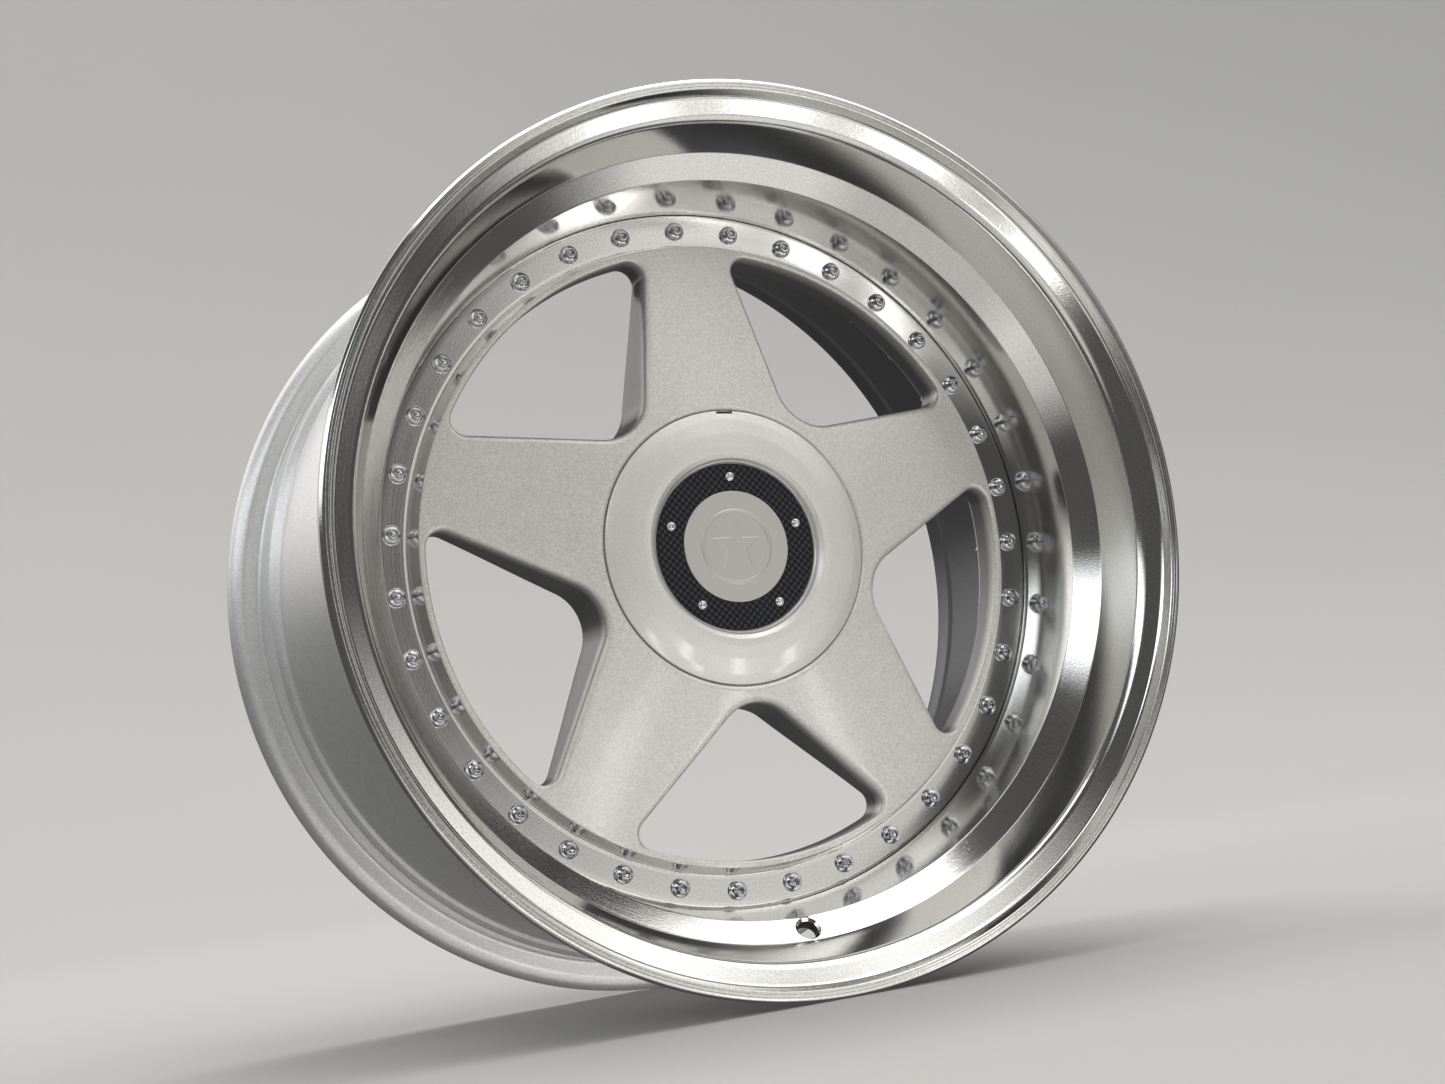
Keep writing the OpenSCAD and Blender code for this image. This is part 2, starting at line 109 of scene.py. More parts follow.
def rounded(corners, steps=5):
    """An outline whose corners are arcs.

    Each corner is (r, h, radius). Its arc starts and ends radius * tan(turn / 2) before and after
    the corner, and its points lie between them on a quadratic curve that touches both sides.
    A corner of radius 0 stays a point.
    """
    p = np.array([c[:2] for c in corners], float)
    out = []
    for i, (r, h, radius) in enumerate(corners):
        if radius == 0 or i in (0, len(corners) - 1):
            out.append(p[i])
            continue
        back, ahead = p[i - 1] - p[i], p[i + 1] - p[i]
        lb, la = np.linalg.norm(back), np.linalg.norm(ahead)
        back, ahead = back / lb, ahead / la
        turn = math.pi - math.acos(np.clip(back @ ahead, -1, 1))
        cut = min(radius * math.tan(turn / 2), 0.49 * lb, 0.49 * la)
        t = np.linspace(0, 1, steps + 1)[:, None]
        out.extend((1 - t) ** 2 * (p[i] + back * cut) + 2 * t * (1 - t) * p[i]
                   + t ** 2 * (p[i] + ahead * cut))
    return np.array(out)


def subdivided(outline, longest):
    """The outline with points added at equal steps, so that no side is longer than `longest`."""
    parts = []
    for a, b in zip(outline[:-1], outline[1:]):
        n = max(1, int(np.ceil(np.linalg.norm(b - a) / longest)))
        parts.append(a + (b - a) * (np.arange(n) / n)[:, None])
    return np.vstack(parts + [outline[-1:]])


def quads(rows, columns, wrap_rows=False, wrap_columns=False):
    """Corner numbers of the quads of a grid whose points run row by row."""
    i = np.arange(rows if wrap_rows else rows - 1)[:, None]
    j = np.arange(columns if wrap_columns else columns - 1)[None, :]
    i2, j2 = (i + 1) % rows, (j + 1) % columns
    return np.stack([i * columns + j, i2 * columns + j, i2 * columns + j2, i * columns + j2],
                    -1).reshape(-1, 4)


def piece(name, patches, body, sharp=35, finish=()):
    """One mesh from several (points, faces) patches, welded where they meet, facing outwards.

    `finish` may give the number of the material that each patch takes.
    """
    points, faces, number, start = [], [], [], 0
    for (p, f), m in zip(patches, finish or [0] * len(patches)):
        p = p.reshape(-1, 3)
        points.append(p)
        faces.append(f + start)
        number.append(np.full(len(f), m, np.int32))
        start += len(p)
    points, faces = np.vstack(points), np.vstack(faces)
    mesh = bpy.data.meshes.new(name)
    mesh.vertices.add(len(points))
    mesh.vertices.foreach_set("co", points.astype(np.float32).ravel())
    mesh.loops.add(faces.size)
    mesh.loops.foreach_set("vertex_index", faces.astype(np.int32).ravel())
    mesh.polygons.add(len(faces))
    mesh.polygons.foreach_set("loop_start", np.arange(0, faces.size, 4, dtype=np.int32))
    mesh.polygons.foreach_set("material_index", np.concatenate(number))
    mesh.update(calc_edges=True)
    welded = bmesh.new()
    welded.from_mesh(mesh)
    bmesh.ops.remove_doubles(welded, verts=welded.verts, dist=WELD)
    bmesh.ops.dissolve_degenerate(welded, edges=welded.edges, dist=1e-7)
    bmesh.ops.recalc_face_normals(welded, faces=welded.faces)
    welded.to_mesh(mesh)
    welded.free()
    mesh.shade_smooth()
    mesh.set_sharp_from_angle(angle=math.radians(sharp))
    obj = bpy.data.objects.new(name, mesh)
    bpy.context.scene.collection.objects.link(obj)
    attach(obj, body)
    return obj


def turned(outline, around=AROUND, closed=True):
    """A surface of revolution: the outline carried round the wheel's axis.

    `around` is a number of equal steps, or the angles themselves.
    """
    a = around if np.ndim(around) else np.arange(around) * 2 * math.pi / around + math.pi / 2
    grid = place(outline[:, 0][:, None], outline[:, 1][:, None], a[None, :])
    return grid, quads(len(outline), len(a), closed, True)


def repeated(patch, count, orbit, first=math.pi / 2):
    """Copies of a small part round the wheel: local x, y in the face's plane, z outboard."""
    points, faces = patch
    local = points.reshape(-1, 3)
    a = first + np.arange(count)[:, None] * 2 * math.pi / count
    x = orbit * np.cos(a) + local[:, 0] * np.cos(a) - local[:, 1] * np.sin(a)
    z = orbit * np.sin(a) + local[:, 0] * np.sin(a) + local[:, 1] * np.cos(a)
    y = -local[:, 2] + 0 * x
    copies = np.stack([x, y, z], -1) * MM
    steps = np.arange(count)[:, None, None] * len(local)
    return copies, (faces[None] + steps).reshape(-1, 4)


def hexagon(a):
    """Radius of a hexagon at angle a, when its corners lie at radius 1."""
    return math.cos(math.pi / 6) / np.cos(a % (math.pi / 3) - math.pi / 6)


def spun(outline, steps, hexagonal=()):
    """A small turned part about its own axis, as (points, faces) for repeated().

    The outline's points whose numbers are in `hexagonal` follow a hexagon instead of a circle.
    """
    a = np.arange(steps) * 2 * math.pi / steps
    r, h = outline[:, 0][:, None], outline[:, 1][:, None]
    grid = np.stack([r * np.cos(a), r * np.sin(a), h + 0 * a], -1)
    rows = list(hexagonal)
    grid[rows, :, :2] *= hexagon(a)[:, None]
    return grid, quads(len(outline), steps, False, True)


# -------- outer lip
def with_steps(outline, near, count):
    """Splits the side whose middle is nearest to `near` into `count` equal steps."""
    middles = (outline[:-1] + outline[1:]) / 2
    k = int(np.argmin(np.hypot(*(middles - np.array(near)).T)))
    t = (np.arange(1, count) / count)[:, None]
    extra = outline[k] + (outline[k + 1] - outline[k]) * t
    return np.vstack([outline[:k + 1], extra, outline[k + 1:]]), k


step_foot = np.array([206.4, band_h + 45])
step_top = np.array([219.1, band_h + 55.4])
curl_r = 9.5  # the flange curls out on this radius
tip_h = bead_h + curl_r
flange_height, seat_w, seat_taper = 17.5, 21.0, math.radians(5)
bead_r = flange_r - flange_height
seat_foot_r = bead_r - seat_w * math.tan(seat_taper)
joint_h = band_h - band_t - joint_t  # seam between lip and barrel
nut_seat_h = joint_h - joint_t
joint_bore_r = bolt_orbit - 9
joint_outer_r = 206.8  # tyre side of the joint's two flanges


def groove(r, h, width=0.55, depth=0.4):
    """Three corners of a fine turned groove in a face that looks outboard, going inwards."""
    return [(r + width / 2, h, 0), (r, h - depth, 0), (r - width / 2, h, 0)]


def curl_corners(face_h, side):
    """The bead side of a J flange: a quarter circle from the bead face out to the flange's tip."""
    a = np.radians(np.linspace(0, 90, 13))
    r = flange_r - curl_r + curl_r * np.sin(a)
    h = face_h + side * (curl_r - curl_r * np.cos(a))
    return [(x, y, 0) for x, y in zip(r, h)]


def seat_corners(face_h, side):
    """Safety hump and 5 degree bead seat, from the hump's far foot up to the bead face."""
    return [(seat_foot_r - 1.6, face_h - side * 28.5, 2),
            (seat_foot_r + 1.2, face_h - side * 25.5, 2.2),
            (seat_foot_r + 1.2, face_h - side * 23.5, 2.2),
            (seat_foot_r, face_h - side * seat_w, 1.5),
            (bead_r, face_h, 2.2)]


def lip_outline():
    """Cross-section of the lip: tyre side first, then back down the polished side."""
    tyre_side = [(joint_bore_r, joint_h, 0), (joint_outer_r - 2.5, joint_h, 0),
                 (joint_outer_r, joint_h + 2.5, 0.5), (joint_outer_r, band_h + 4, 20),
                 (210.6, step_foot[1] - 4.5, 2)] + seat_corners(bead_h, 1)
    rolled_edge = [(flange_r, tip_h + 1.4, 1.5), (flange_r - 1.6, front_h, 2.2)]
    face = (groove(flange_r - 3.1, front_h) + groove(flange_r - 4.7, front_h)
            + [(flange_r - 6.1, front_h, 1.2), (flange_r - 8.4, tip_h - 3.1, 3),
               (flange_r - 20.2, tip_h - 7.4, 7.5)])
    wall = [(*step_top, 1.2), (*step_foot, 0.9), (register_r, band_h, 3),
            (register_r, band_h - band_t, 0), (joint_bore_r, band_h - band_t, 0)]
    return rounded(tyre_side + curl_corners(bead_h, 1) + rolled_edge + face + wall, 7)


def loop_of_block(rows, columns):
    """Grid numbers round the edge of a block of points, once round from its first corner."""
    r0, r1, c0, c1 = rows[0], rows[-1], columns[0], columns[-1]
    return np.array([(r0, c) for c in columns[:-1]] + [(r, c1) for r in rows[:-1]]
                    + [(r1, c) for c in columns[:0:-1]] + [(r, c0) for r in rows[:0:-1]])


def make_lip():
    """The lip with its valve hole.

    The section is carried round the axis. Near the bottom a block of the step band and the block
    behind it on the tyre side are left out, and flat rings fill them from the block's edge to
    the hole. The hole's own wall is a tube between the two rings, with a chamfer at its mouth.
    """
    fine = 14  # steps of a block, both ways
    half = math.radians(2.8)  # half the angle that a block spans
    chamfer = 1.5
    bottom = -math.pi / 2
    band_mid = (step_foot + step_top) / 2
    back_mid = (219.5, step_foot[1] + 2.4)
    outline, band_row = with_steps(lip_outline(), band_mid, fine)
    outline, back_row = with_steps(outline, back_mid, fine)
    if back_row < band_row:
        band_row += fine - 1
    near = bottom + np.linspace(-half, half, fine + 1)
    far = np.linspace(bottom + half, bottom - half + 2 * math.pi, AROUND - 2)[1:-1]
    a = np.concatenate([near, far])
    grid = place(outline[:, 0][:, None], outline[:, 1][:, None], a[None, :])
    faces = quads(len(outline), len(a), True, True)
    row, column = faces[:, 0] // len(a), faces[:, 0] % len(a)
    in_hole = (column < fine) & (((row >= band_row) & (row < band_row + fine))
                                 | ((row >= back_row) & (row < back_row + fine)))
    patches = [(grid, faces[~in_hole])]

    slope = math.atan2(*(step_top - step_foot)[::-1])
    centre = place(band_mid[0], band_mid[1], np.array(bottom))
    along_step = np.array([0, -math.sin(slope), -math.cos(slope)])
    into_metal = np.array([0, math.cos(slope), -math.sin(slope)])
    across = np.array([1.0, 0, 0])
    step = 2 * math.pi / (4 * fine)
    rings = []
    for first_row, rim_r in ((band_row, valve_r + chamfer), (back_row, valve_r)):
        block = loop_of_block(np.arange(first_row, first_row + fine + 1), np.arange(fine + 1))
        edge = grid[block[:, 0], block[:, 1]]
        turn = np.unwrap(np.arctan2((edge - centre) @ along_step, (edge - centre) @ across))
        way = int(np.sign(turn[-1] - turn[0]))
        number = round(turn[0] / step) + way * np.arange(4 * fine)
        spoke = (np.cos(number * step)[:, None] * across
                 + np.sin(number * step)[:, None] * along_step)
        depth = ((edge - centre) @ into_metal).mean()
        hole = centre + into_metal * depth + spoke * rim_r * MM
        t = np.linspace(0, 1, 5)[:, None, None]
        patches.append((edge + (hole - edge) * t, quads(5, len(edge), False, True)))
        in_turn = np.argsort(number % (4 * fine))
        rings.append((hole[in_turn], spoke[in_turn]))
    (mouth, spoke), (out, _) = rings
    neck = mouth + (into_metal - spoke) * chamfer * MM
    t = np.linspace(0, 1, 4)[:, None, None]
    patches.append((np.stack([mouth, neck]), quads(2, len(mouth), False, True)))
    patches.append((neck + (out - neck) * t, quads(len(t), len(mouth), False, True)))
    # the hole's tube takes the second, dark material: a painted shade inside the valve hole
    return piece("polished_lip", patches, "wheel", 25,
                 [0] * (len(patches) - 1) + [1])


# -------- inner barrel
def barrel_outlines():
    """Cross-sections of the barrel: the brake side, then the tyre side, end to end."""
    face_h = rear_bead_h
    tip = face_h - curl_r
    brake_side = [(joint_bore_r, nut_seat_h, 0), (201.4, nut_seat_h, 4), (202, -22, 12),
                  (208, -42, 25), (219.4, -108, 20), (224.6, -122, 14),
                  (227.4, face_h - 3.5, 7), (flange_r - 9, tip + 1.2, 3),
                  (flange_r - 6.4, rear_h, 1.6), (flange_r - 4, rear_h, 0)]
    rolled_edge = [(flange_r - 4, rear_h, 0), (flange_r - 1.6, rear_h, 2.2),
                   (flange_r, tip - 1.4, 1.5)]
    well = [(224.6, -110, 3), (213, -42, 30), (joint_outer_r, -24, 12),
            (joint_outer_r, joint_h - 2.5, 0.5), (joint_outer_r - 2.5, joint_h, 0),
            (joint_bore_r, joint_h, 0), (joint_bore_r, nut_seat_h, 0)]
    tyre_side = (rolled_edge + curl_corners(face_h, -1)[::-1] + seat_corners(face_h, -1)[::-1]
                 + well)
    return rounded(brake_side, 7), rounded(tyre_side, 7)


def make_barrel():
    """The barrel's two outlines carried round the axis; its inside gets a dark painted shade."""
    patches = [turned(subdivided(side, 9), AROUND, False) for side in barrel_outlines()]
    return piece("barrel", patches, "wheel", 25, [1, 0])


# -------- forged centre
window_half = math.pi / SPOKES
lean = math.radians(10.85)
gather = window_half + lean
window_r = 174.0
corner_r, apex_round = 9.0, 26.0
apex_r = (26 + 167 * math.tan(lean)) * math.cos(lean) / math.sin(gather)
apex_centre = apex_r + apex_round / math.sin(gather)
corner_orbit = window_r - corner_r
swing = gather - math.asin((corner_r + apex_r * math.sin(gather)) / corner_orbit)
pocket_mouth_r, pocket_r, ledge_h = 78.3, 76.5, band_h + 22.5
mouth_round = 3.0  # softens the edge of the cap pocket
face_edge_r, face_hub_r = 177.7, pocket_mouth_r + mouth_round
face_edge_h, face_hub_h = band_h + 11.2, band_h + 26.3
hub_plate_h = 15.0
hub_bore_r, pad_r = 39.5, 79.0  # bore and outer edge of the hub pad
lug_seat_r, lug_neck_h = 12.0, 4.0  # counterbore of a lug hole, and its foot
N_APEX, N_SIDE, N_CORNER, N_ARC = 14, 26, 14, 20


def half_window():
    """Upper half of a window's outline from its inner corner to the middle of its outer arc.

    Returns points, the directions that point out of the window, and how far along each point is:
    0 at the inner corner, 1 to 2 along the straight side, 2 to 3 round the outer corner, then
    up to 4 along the arc. Local x runs along the window's centre line.
    """
    side = math.pi / 2 + gather
    t1, t2, t3, t4 = (np.arange(n) / n for n in (N_APEX, N_SIDE, N_CORNER, N_ARC))
    t4 = np.append(t4, 1)
    way = np.concatenate([math.pi + (side - math.pi) * t1, side + 0 * t2,
                          side + (swing - side) * t3, swing * (1 - t4)])
    out = np.stack([np.cos(way), np.sin(way)], -1)
    corner = corner_orbit * np.array([math.cos(swing), math.sin(swing)])
    side_out = np.array([math.cos(side), math.sin(side)])
    tip = np.array([apex_centre, 0]) + apex_round * side_out
    end = corner + corner_r * side_out
    p = np.concatenate([np.array([apex_centre, 0]) + apex_round * out[:N_APEX],
                        tip + (end - tip) * t2[:, None],
                        corner + corner_r * out[N_APEX + N_SIDE:N_APEX + N_SIDE + N_CORNER],
                        window_r * out[-len(t4):]])
    return p, out, np.concatenate([t1, 1 + t2, 2 + t3, 3 + t4])


def half_sector(inner_r, outer_r, half_angle, along):
    """Edge of a pie slice matched to half_window(): inner arc, straight side, outer arc."""
    t = np.clip([along, along - 1, along - 2, along - 3], 0, 1)
    a = half_angle * t[0] - (half_angle - swing) * t[2] - swing * t[3]
    r = inner_r + (outer_r - inner_r) * t[1]
    return np.stack([r * np.cos(a), r * np.sin(a)], -1)


def both_halves(half):
    """Closes a half loop with its mirror image across the local x axis."""
    mirrored = half[-2:0:-1] * np.array([1, -1])
    return np.concatenate([half, mirrored])


def face_height(xy):
    """The painted face is a shallow cone, highest at the cap."""
    r = np.linalg.norm(xy, axis=-1)
    return face_hub_h + (face_edge_h - face_hub_h) * (r - face_hub_r) / (face_edge_r - face_hub_r)


def rear_height(xy):
    """The spokes' back: a cone with a round-edged pocket in the middle of each spoke."""
    r, a = np.hypot(xy[..., 0], xy[..., 1]), np.arctan2(xy[..., 1], xy[..., 0])
    off = window_half - np.abs(a)
    across, along = r * np.sin(off), r * np.cos(off)
    wall = np.minimum.reduce([27 - (along - 96) * 0.14 - across, along - 95, 161 - along])
    cone = 2 + 8 * smooth((r - 82) / 86)
    return cone + 13 * smooth(wall / 5)


def five_fold(patch_rows, first=math.pi / 2 + window_half):
    """Rows of local [x, y, height] points, each row closed, copied once for every spoke."""
    rows = np.array(patch_rows)
    return repeated((rows, quads(rows.shape[0], rows.shape[1], False, True)), SPOKES, 0, first)


def rows_between(inner, outer, steps, height):
    """Rows of points from one loop to another, each lifted to height(x, y)."""
    t = np.linspace(0, 1, steps + 1)[:, None, None]
    xy = inner + (outer - inner) * t
    return np.concatenate([xy, height(xy)[..., None]], -1)


def window_cell():
    """Everything round one window: face, rounded front edge, wall, rear edge and back."""
    half, out, along = half_window()
    loop, normal = both_halves(half), both_halves(out)
    outer_share = smooth(along - 2)
    mirrored_share = np.concatenate([outer_share, outer_share[-2:0:-1]])
    edge = (3.4 - 1.5 * mirrored_share)[None, :, None]
    rim = face_edge_r - 1.3
    sector = both_halves(half_sector(face_hub_r, rim, window_half, along))
    face = rows_between(loop + normal * edge[0], sector, 14, face_height)

    a = np.linspace(0, math.pi / 2, 8)[:, None, None]
    xy = loop + normal * edge * (1 - np.sin(a))
    drop = (edge * (1 - np.cos(a)))[..., 0]
    front_edge = np.concatenate([xy, (face_height(xy) - drop)[..., None]], -1)

    back_round = 1.8
    xy = loop + normal * back_round * (1 - np.cos(a))
    rise = (back_round * (1 - np.sin(a)))[..., 0]
    back_edge = np.concatenate([xy, (rear_height(xy) + rise)[..., None]], -1)
    t = np.linspace(0, 1, 6)[:, None, None]
    wall = front_edge[-1] + (back_edge[0] - front_edge[-1]) * t
    back_sector = both_halves(half_sector(82, 176, window_half, along))
    back = rows_between(loop + normal * back_round, back_sector, 34, rear_height)
    return [five_fold(rows) for rows in (face, front_edge, wall, back_edge, back)]


def hole_cell(hole_r, inner_r, outer_r, height):
    """One flat slice of the hub plate with a lug hole in it, copied round the wheel.

    The rows run from the hole's circle out to the slice's edge. Also returns the hole's circle.
    """
    side = 2 * N_APEX
    turn = np.linspace(0, 2 * math.pi, 4 * side + 1)[:-1] - math.pi / 4
    hole = np.stack([lug_orbit + hole_r * np.cos(turn), hole_r * np.sin(turn)], -1)
    t = np.arange(side) / side
    a = np.concatenate([-1 + 2 * t, 1 + 0 * t, 1 - 2 * t, -1 + 0 * t]) * window_half
    r = np.concatenate([outer_r + 0 * t, outer_r + (inner_r - outer_r) * t,
                        inner_r + 0 * t, inner_r + (outer_r - inner_r) * t])
    edge = np.stack([r * np.cos(a), r * np.sin(a)], -1)
    flat = rows_between(hole, edge, 5, lambda xy: height + 0 * xy[..., 0])
    return five_fold(flat, math.pi / 2), np.append(hole, np.full((len(hole), 1), height), 1)


def make_centre():
    """The forging: five window cells, the cap pocket, the hub plate and the bolt band.

    The edge of the cap pocket is a quarter ellipse, mouth_round wide and 0.6 of that deep. The
    hub bore has a groove for the centring ring's clip. The turned parts use the same angles as
    the cells' edges, so that everything welds.
    """
    _, _, along = half_window()
    edge = both_halves(half_sector(1, 1, window_half, along))
    on_rim = both_halves(half_sector(1, 2, window_half, along))
    rim_angle = np.arctan2(edge[:, 1], edge[:, 0])[np.hypot(on_rim[:, 0], on_rim[:, 1]) > 1.999]
    rim_angle = np.unique(np.round(rim_angle, 9))[:-1]
    first = math.pi / 2 + window_half
    turns = first + np.arange(SPOKES)[:, None] * 2 * math.pi / SPOKES
    rim_angle = (turns + rim_angle).ravel()
    hub_steps = SPOKES * 2 * N_APEX

    floor, seat_top = hole_cell(lug_seat_r, hub_bore_r, pocket_r, hub_plate_h)
    pad, pad_hole = hole_cell(lug_r, hub_bore_r, pad_r, 0)
    seat_foot = seat_top * [1, 1, 0] + [0, 0, lug_neck_h]
    neck_top = pad_hole + [0, 0, lug_neck_h]
    a = np.linspace(0, math.pi / 2, 10)
    fall = np.stack([pocket_mouth_r + mouth_round * (1 - np.sin(a)),
                     face_hub_h - 0.6 * mouth_round * (1 - np.cos(a))], -1)
    mouth = np.vstack([fall, rounded([(pocket_mouth_r, ledge_h, 0), (pocket_r, ledge_h, 0.3),
                                      (pocket_r, hub_plate_h, 0)])])
    clip_r = hub_bore_r + 1.2
    bore = np.array([(hub_bore_r, hub_plate_h), (hub_bore_r, 13.8), (clip_r, 13.8),
                     (clip_r, 12.2), (hub_bore_r, 12.2), (hub_bore_r, 1.5), (hub_bore_r, 0)])
    hub_edge = rounded([(pad_r, 0, 0), (pad_r + 2, 0, 1.5), (pad_r + 3, 2, 0)])
    rim_r = face_edge_r - 1.3
    bead = rounded([(rim_r, face_height(np.array([rim_r, 0.0])), 0),
                    (face_edge_r, face_edge_h, 1.2), (face_edge_r + 0.2, face_edge_h - 0.6, 0)])
    band = rounded([tuple(bead[-1]) + (0,), (181.1, band_h + 1.2, 0.6),
                    (181.6, band_h - 0.15, 0.5), (183.4, band_h, 1.4),
                    (198.2, band_h, 0.25), (register_r - 0.3, band_h - 1.6, 0.3),
                    (register_r - 0.3, band_h - band_t, 0), (176, band_h - band_t, 0)])
    patches = window_cell() + [
        floor, pad, five_fold([seat_top, seat_foot], math.pi / 2),
        five_fold([seat_foot, neck_top], math.pi / 2),
        five_fold([neck_top, pad_hole], math.pi / 2),
        turned(mouth, hub_steps, False), turned(bore, hub_steps, False),
        turned(hub_edge, hub_steps, False), turned(bead, rim_angle, False),
        turned(subdivided(band, 4), rim_angle, False)]
    return piece("forged_centre", patches, "wheel", 40,
                 [0] * (len(patches) - 1) + [1])


# -------- assembly bolts
nut_tip_h = nut_seat_h - 10
bolt_r, bolt_tip_chamfer, bolt_flange_r = 3.5, 0.6, 5.45


def make_bolts():
    """Chromed bolts: shank, domed flange (an ellipse's arc), rolled collar, hexagon socket."""
    shank = [(0, nut_tip_h), (bolt_r - bolt_tip_chamfer, nut_tip_h),
             (bolt_r, nut_tip_h + bolt_tip_chamfer), (bolt_r, band_h), (bolt_flange_r, band_h)]
    a = np.linspace(0, math.radians(78), 9)
    wide, tall = 2.85, 2.6  # the dome's two radii
    dome = np.stack([bolt_flange_r - wide + wide * np.cos(a),
                     band_h + 0.6 + tall * np.sin(a)], -1)
    collar = rounded([(3.1, band_h + 3.2, 0), (2.95, band_h + 3.6, 0.3),
                      (2.95, band_h + 5.5, 0.75), (1.95, band_h + 5.5, 0.75),
                      (1.85, band_h + 4.9, 0)], 4)
    socket = [(1.9, band_h + 4.7), (1.9, band_h + 3.3), (0.7, band_h + 2.8), (0, band_h + 3.0)]
    outline = np.vstack([shank, dome, collar, socket])
    n = len(outline)
    bolt = spun(outline, 36, (n - 4, n - 3))
    return piece("chrome_bolts", [repeated(bolt, BOLTS, bolt_orbit)], "wheel", 32)


# -------- centre cap
cover_edge_h = ledge_h + 0.5
crest_h = 50.3
recess_r, recess_h = 47.9, 44.5
trim_r, trim_t = 47.4, 1.2
badge_r, badge_foot_h, badge_t = 31.5, recess_h + 0.5, 1.3
screw_orbit = 39.8
cap_top = math.pi / 2 - cap_turn  # where the cap's own top points


def make_cover():
    """The crowned cover. Its outer radius steps in by the pry notch's depth near the cap's top."""
    crown = [(cap_r, cover_edge_h, 0), (cap_r, cover_edge_h + 3.2, 0.9),
             (72, cover_edge_h + 4.8, 14), (64, crest_h - 0.9, 16), (56.5, crest_h - 0.05, 10),
             (52.6, crest_h + 0.05, 1.3), (50.0, crest_h - 1.6, 1.6), (48.8, crest_h - 3.6, 1.2),
             (recess_r, recess_h + trim_t + 0.2, 1), (recess_r, recess_h, 0.2),
             (0, recess_h, 0)]
    back = [(0, 42, 0), (49, 42, 1), (54, crest_h - 3.4, 2), (60, crest_h - 3.8, 8),
            (72, cover_edge_h + 1.2, 2), (73.5, cover_edge_h, 0)]
    outline = np.vstack([rounded(back, 4), subdivided(rounded(crown, 6), 4)])
    notch_half, notch_depth = 5 / cap_r, 1.8
    side = 1.001  # angle at which a side wall of the notch meets the rim, over that at its foot
    corners = notch_half * np.array([-side, -1, 1, side])
    even = np.linspace(notch_half, 2 * math.pi - notch_half, AROUND - 2)[1:-1]
    within = np.linspace(-notch_half, notch_half, 9)[1:-1]
    a = np.concatenate([corners[:2], within, corners[2:], even])
    notched = (np.abs(a) <= notch_half * 1.0001)[None, :]
    r = outline[:, 0][:, None] + 0 * a
    r = np.where(notched & (r > cap_r - notch_depth), cap_r - notch_depth, r)
    grid = place(r, outline[:, 1][:, None], cap_top + a[None, :])
    return piece("cap_cover_shell", [(grid, quads(len(outline), len(a), False, True))],
                 "centre_cap", 38)


def make_trim_ring():
    """Flat carbon ring with softened edges."""
    low, high = recess_h, recess_h + trim_t
    section = rounded([(badge_r + 0.2, low, 0), (trim_r, low, 0), (trim_r, high, 0.35),
                       (badge_r + 0.2, high, 0.25), (badge_r + 0.2, low, 0)], 4)[:-1]
    return piece("carbon_ring", [turned(subdivided(section, 3), 240)], "centre_cap",
                 40)


def emblem(r, a):
    """Height of the raised badge design: a five-ray star with ridged rays inside a plain ring.

    A ray's edge runs straight from its tip at star_r to the waist, so how far a point is inside
    the star is one straight-line distance, folded into a tenth of a turn.
    """
    star_r, waist_r = 15.0, 6.2
    fold = np.abs((a - math.pi / 2 + math.pi / 5) % (2 * math.pi / 5) - math.pi / 5)
    x, y = r * np.cos(fold), r * np.sin(fold)
    waist = waist_r * np.array([math.cos(math.pi / 5), math.sin(math.pi / 5)])
    side = waist - np.array([star_r, 0])
    normal = np.array([side[1], -side[0]]) / np.linalg.norm(side)
    inside = -((x - star_r) * normal[0] + y * normal[1])
    ring = 0.8 - np.abs(r - 20.2)
    return 0.35 * np.maximum(smooth(inside / 0.35 + 0.5), smooth(ring / 0.3 + 0.5))


def make_badge():
    """Badge disc: a grid of radius and angle, lifted by the emblem, with a quarter-round edge."""
    top = badge_foot_h + badge_t
    edge_round, design_r = 0.35, 24.0
    a = np.arange(2 * AROUND) * math.pi / AROUND
    bend = np.radians([0, 30, 60, 90])
    r = np.concatenate([[0], np.linspace(0.25, design_r, 96),
                        np.linspace(design_r + 1, badge_r - 0.5, 8),
                        badge_r - edge_round + edge_round * np.sin(bend)])
    edge = np.zeros(len(r))
    edge[-len(bend):] = edge_round * (1 - np.cos(bend))
    h = top - edge[:, None] + emblem(r[:, None], a[None, :] + math.pi / 2)
    face = place(r[:, None] + 0 * a, h, cap_top + a[None, :])
    rim = place(np.array([badge_r, 0.0])[:, None] + 0 * a,
                np.array([badge_foot_h, badge_foot_h])[:, None] + 0 * a, cap_top + a[None, :])
    grid = np.concatenate([face, rim])
    return piece("badge", [(grid, quads(len(grid), len(a), False, True))], "centre_cap",
                 50)


def make_trim_screws():
    """Button-head screws with a hexagon socket."""
    seat = recess_h + trim_t
    head = rounded([(0, seat - 11.7, 0), (1.5, seat - 11.7, 0), (1.5, seat, 0),
                    (2.75, seat, 0.1), (2.75, seat + 0.5, 0.4), (1.9, seat + 1.6, 1.5),
                    (1.15, seat + 1.65, 0.3), (1.05, seat + 1.2, 0)], 4)
    socket = [(1.1, seat + 1.15), (1.1, seat + 0.5), (0, seat + 0.35)]
    outline = np.vstack([head, socket])
    n = len(outline)
    screw = spun(outline, 36, (n - 3, n - 2))
    return piece("trim_screw_set", [repeated(screw, CAP_SCREWS, screw_orbit, cap_top)],
                 "centre_cap", 32)


lip = make_lip()
barrel = make_barrel()
centre = make_centre()
bolts = make_bolts()
cover = make_cover()
trim_ring = make_trim_ring()
badge = make_badge()
trim_screws = make_trim_screws()

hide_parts("outer_lip")
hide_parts("inner_barrel")
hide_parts("spoke_centre")
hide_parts("assembly_bolts")
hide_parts("cap_cover")
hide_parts("carbon_trim_ring")
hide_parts("badge_disc")
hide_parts("trim_screws")


